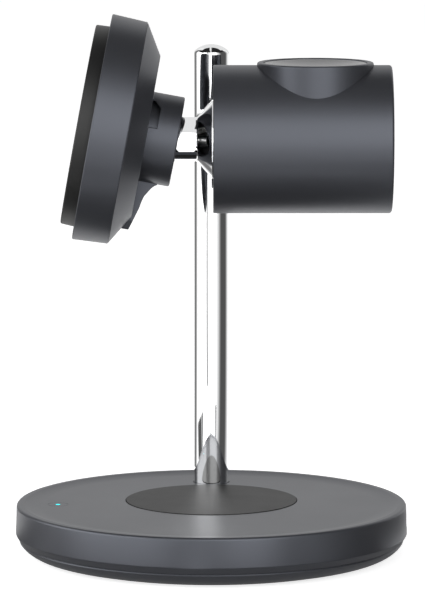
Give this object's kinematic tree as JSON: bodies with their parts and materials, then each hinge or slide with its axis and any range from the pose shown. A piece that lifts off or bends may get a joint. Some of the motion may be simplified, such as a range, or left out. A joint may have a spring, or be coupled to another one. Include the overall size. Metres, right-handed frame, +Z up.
{
  "type": "wireless charger",
  "caption": "Charging stand: a tilting round magnetic head and a drum with a small puck on a chrome post, over a round base with a charging pad.",
  "frame": {"origin": "middle of the foot, on the table", "axes": "+Z up along the post; the tilting head is on the -X side, the drum on the +X side, and the post stands towards +Y"},
  "size_m": [0.1086, 0.1086, 0.1499],
  "materials": {
    "base_shell": "fine matte moulding",
    "head_shell": "fine matte moulding",
    "drum_shell": "fine matte moulding",
    "inlay": "soft matte film",
    "rubber": "moulded rubber",
    "pad": "soft matte silicone",
    "puck": "satin",
    "chrome": "polished",
    "lens": "lit light pipe",
    "steel": "plain",
    "screw_steel": "plain",
    "cast_metal": "cast",
    "magnet": "nickel plated",
    "copper": "enamelled copper wire",
    "ferrite": "sintered sheet",
    "board": "circuit board",
    "chips": "moulded packages",
    "inner_plastic": "plain moulding",
    "wire": "sleeved wires"
  },
  "bodies": {
    "root": {"base_housing": "base_shell", "base_bottom_cover": "base_shell", "drum_shell": "drum_shell", "drum_end_cap": "drum_shell", "puck_ring": "drum_shell", "inlay_pad": "inlay", "foot_ring": "rubber", "charging_puck": "puck", "post": "chrome", "arm_hub": "chrome", "indicator_lens": "lens", "ballast_plate": "steel", "hinge_knuckle": "steel", "usb_c_inlet": "steel", "hub_nut": "steel", "case_screws": "screw_steel", "board_screws": "screw_steel", "anchor_screws": "screw_steel", "post_set_screws": "screw_steel", "post_anchor": "cast_metal", "puck_magnet": "magnet", "base_coil": "copper", "puck_coil": "copper", "base_ferrite": "ferrite", "puck_ferrite": "ferrite", "main_board": "board", "touch_board": "board", "puck_board": "board", "board_parts": "chips", "drum_deck": "inner_plastic", "puck_support": "inner_plastic", "wire_loom": "wire"},
    "head": {"head_rear_cover": "head_shell", "head_ring": "head_shell", "front_pad": "pad", "magnet_ring": "magnet", "magnet_yoke": "steel", "head_coil": "copper", "head_ferrite": "ferrite", "module_plate": "cast_metal", "head_screws": "screw_steel", "head_board": "board", "hinge_bracket": "steel", "bracket_screws": "screw_steel", "hinge_pin": "steel", "friction_washers": "inner_plastic"}
  },
  "joints": [
    {"name": "head_tilt", "type": "hinge", "parent": "root", "child": "head", "pos_m": [-0.01375, 0, 0.1156], "axis": [0, 1, 0], "range_deg": [-28, 8]}
  ]
}
